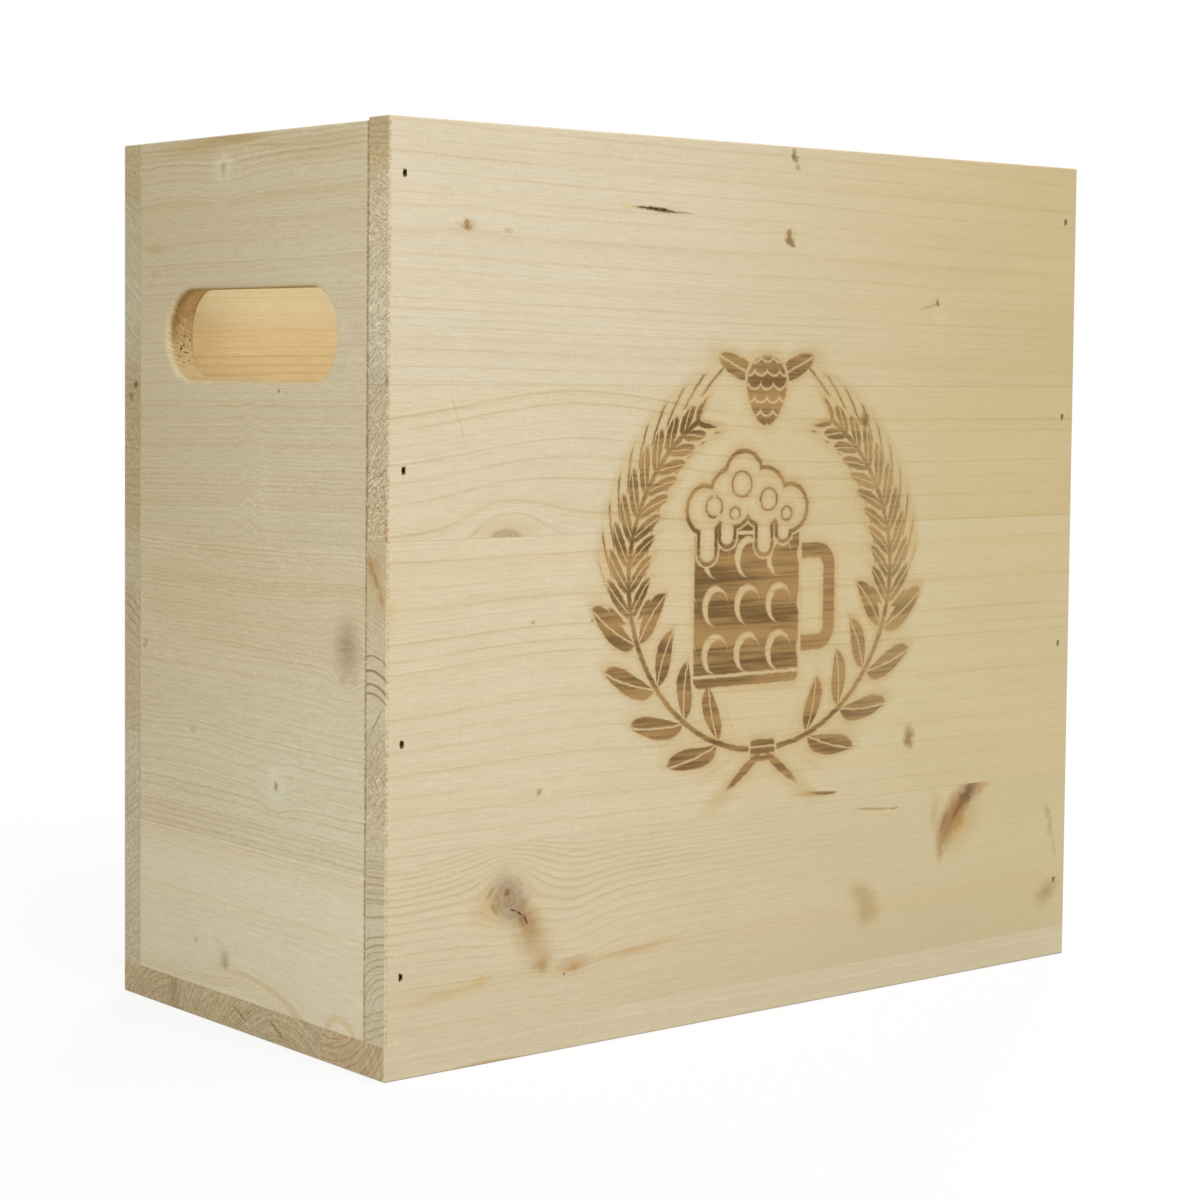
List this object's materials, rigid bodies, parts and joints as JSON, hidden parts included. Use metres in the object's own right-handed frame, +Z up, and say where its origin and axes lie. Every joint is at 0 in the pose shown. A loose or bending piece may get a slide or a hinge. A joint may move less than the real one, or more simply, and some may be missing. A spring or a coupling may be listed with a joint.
{
  "type": "wooden beer crate",
  "caption": "Upright open-topped beer crate of edge-glued spruce boards, butt-jointed and bradded, with a rounded hand slot in each end.",
  "frame": {"origin": "middle of the base's underside, which is the bottom centre of the whole crate", "axes": "+Z up; +X to the right along the long front panel; +Y from the front panel, which carries the burnt mark, to the back panel; the front face is at y = -0.081"},
  "size_m": [0.316, 0.162, 0.3],
  "materials": {
    "front_spruce": "raw planed and sanded spruce with fine pale brown grain, knots and a dark burnt mark",
    "back_spruce": "raw planed and sanded spruce, unmarked",
    "end_spruce": "raw planed and sanded spruce, grain along the end, slot rims rounded by hand",
    "base_spruce": "raw spruce, a little darker, sawn ends showing",
    "brad_steel": "dull galvanised wire brads, set below the wood"
  },
  "bodies": {
    "root": {"front_top_board": "front_spruce", "front_upper_board": "front_spruce", "front_lower_board": "front_spruce", "front_bottom_board": "front_spruce", "back_top_board": "back_spruce", "back_upper_board": "back_spruce", "back_lower_board": "back_spruce", "back_bottom_board": "back_spruce", "left_end_top_board": "end_spruce", "left_end_middle_board": "end_spruce", "left_end_bottom_board": "end_spruce", "right_end_top_board": "end_spruce", "right_end_middle_board": "end_spruce", "right_end_bottom_board": "end_spruce", "base_front_board": "base_spruce", "base_middle_board": "base_spruce", "base_back_board": "base_spruce", "front_left_brads": "brad_steel", "front_right_brads": "brad_steel", "back_left_brads": "brad_steel", "back_right_brads": "brad_steel", "base_front_brads": "brad_steel", "base_back_brads": "brad_steel", "base_left_brads": "brad_steel", "base_right_brads": "brad_steel"}
  },
  "joints": []
}
